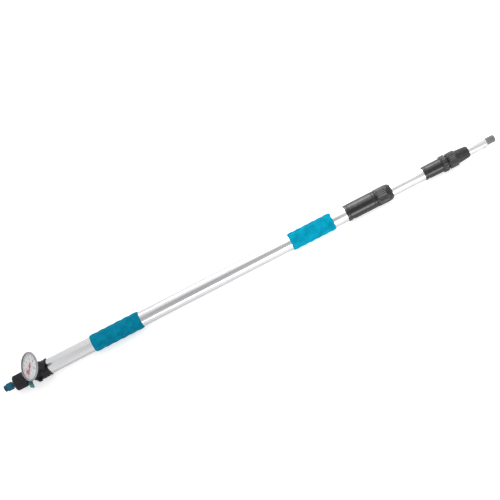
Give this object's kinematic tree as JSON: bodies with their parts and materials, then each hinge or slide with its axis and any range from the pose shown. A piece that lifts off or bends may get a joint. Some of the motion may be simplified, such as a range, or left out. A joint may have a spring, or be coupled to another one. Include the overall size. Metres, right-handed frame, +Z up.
{
  "type": "telescopic washing pole",
  "caption": "Telescopic water-fed washing pole with twist clamps, foam grips, a hose inlet with a shut-off valve, and a round pressure gauge",
  "frame": {"origin": "the middle of the valve housing's flat foot, on the surface that the pole lies on", "axes": "+X runs along the pole from the hose end to the brush end, +Z is up, and the valve's knob is on the -Y side"},
  "size_m": [1.24, 0.0654, 0.0932],
  "materials": {
    "teal_plastic": "moulded, satin",
    "black_plastic": "glass-filled, fine texture",
    "clamp_plastic": "moulded, satin",
    "white_plastic": "plain moulded",
    "fitting_plastic": "moulded grey",
    "aluminium_tube": "drawn and satin anodised",
    "grip_foam": "closed-cell foam",
    "rubber": "plain",
    "brass": "machined",
    "steel": "stainless",
    "gauge_metal": "grey enamel",
    "gauge_face": "white enamel",
    "gauge_lens": "clear",
    "pointer_red": "red enamel"
  },
  "bodies": {
    "outer_pole": {"hose_plug": "teal_plastic", "plug_o_ring": "rubber", "plug_washer": "rubber", "union_nut": "black_plastic", "inlet_strainer": "steel", "valve_housing": "black_plastic", "drain_plug": "black_plastic", "seat_retainer": "black_plastic", "ball_seat_inlet": "white_plastic", "ball_seat_outlet": "white_plastic", "tube_screw_near": "steel", "tube_screw_far": "steel", "tube_o_ring_front": "rubber", "tube_o_ring_rear": "rubber", "gauge_bezel": "gauge_metal", "gauge_lens": "gauge_lens", "gauge_case": "gauge_metal", "gauge_face": "gauge_face", "gauge_stem": "brass", "gauge_capsule": "brass", "outer_tube": "aluminium_tube", "lower_grip": "grip_foam", "upper_grip": "grip_foam", "lower_clamp_sleeve": "clamp_plastic", "lower_collet": "white_plastic", "lower_rivet_near": "steel", "lower_rivet_far": "steel"},
    "valve": {"valve_ball": "brass", "valve_spindle": "brass", "spindle_o_ring": "rubber", "valve_knob": "teal_plastic", "knob_screw": "steel"},
    "gauge_hand": {"gauge_pointer": "pointer_red", "pointer_arbor": "brass"},
    "gauge_fan": {"gauge_sector": "brass"},
    "lower_thrust": {"lower_thrust_ring": "steel"},
    "lower_twist": {"lower_collar": "clamp_plastic", "lower_wiper": "rubber"},
    "mid_seal": {"mid_piston_seal": "rubber"},
    "mid_pole": {"mid_tube": "aluminium_tube", "mid_piston": "white_plastic", "upper_clamp_sleeve": "clamp_plastic", "upper_collet": "white_plastic", "upper_rivet_near": "steel", "upper_rivet_far": "steel"},
    "upper_thrust": {"upper_thrust_ring": "steel"},
    "upper_twist": {"upper_collar": "clamp_plastic", "upper_wiper": "rubber"},
    "inner_seal": {"inner_piston_seal": "rubber"},
    "inner_pole": {"inner_tube": "aluminium_tube", "inner_piston": "white_plastic", "brush_fitting": "fitting_plastic", "fitting_o_ring": "rubber", "fitting_rivet_near": "steel", "fitting_rivet_far": "steel"}
  },
  "joints": [
    {"name": "valve_turn", "type": "hinge", "parent": "outer_pole", "child": "valve", "pos_m": [-0.03, 0, 0.02057], "axis": [0, 1, 0], "range_deg": [0, 90]},
    {"name": "gauge_needle", "type": "hinge", "parent": "outer_pole", "child": "gauge_hand", "pos_m": [-0.0083, 0, 0.07257], "axis": [0.6428, 0, -0.766], "range_deg": [0, 270], "stiffness_Nm_per_rad": 0.0002},
    {"name": "gauge_sector_turn", "type": "hinge", "parent": "outer_pole", "child": "gauge_fan", "pos_m": [-0.0083, -0.014, 0.07257], "axis": [0.6428, 0, -0.766], "range_deg": [-45, 0]},
    {"name": "lower_clamp_travel", "type": "slide", "parent": "outer_pole", "child": "lower_thrust", "axis": [1, 0, 0], "range_m": [0, 0.0015]},
    {"name": "lower_clamp_turn", "type": "hinge", "parent": "lower_thrust", "child": "lower_twist", "pos_m": [0.87, 0, 0.02057], "axis": [1, 0, 0], "range_deg": [0, 180]},
    {"name": "mid_section_slide", "type": "slide", "parent": "outer_pole", "child": "mid_seal", "axis": [1, 0, 0], "range_m": [0, 0.735]},
    {"name": "mid_section_swivel", "type": "hinge", "parent": "mid_seal", "child": "mid_pole", "pos_m": [0.064, 0, 0.02057], "axis": [1, 0, 0], "continuous": true},
    {"name": "upper_clamp_travel", "type": "slide", "parent": "mid_pole", "child": "upper_thrust", "axis": [1, 0, 0], "range_m": [0, 0.0015]},
    {"name": "upper_clamp_turn", "type": "hinge", "parent": "upper_thrust", "child": "upper_twist", "pos_m": [1.06, 0, 0.02057], "axis": [1, 0, 0], "range_deg": [0, 180]},
    {"name": "inner_section_slide", "type": "slide", "parent": "mid_pole", "child": "inner_seal", "axis": [1, 0, 0], "range_m": [0, 0.89]},
    {"name": "inner_section_swivel", "type": "hinge", "parent": "inner_seal", "child": "inner_pole", "pos_m": [0.103, 0, 0.02057], "axis": [1, 0, 0], "continuous": true}
  ],
  "couplings": [
    {"joint": "gauge_sector_turn", "follows": "gauge_needle", "ratio": -0.16667},
    {"joint": "lower_clamp_turn", "follows": "lower_clamp_travel", "rad_per_m": 2094},
    {"joint": "upper_clamp_turn", "follows": "upper_clamp_travel", "rad_per_m": 2094}
  ]
}
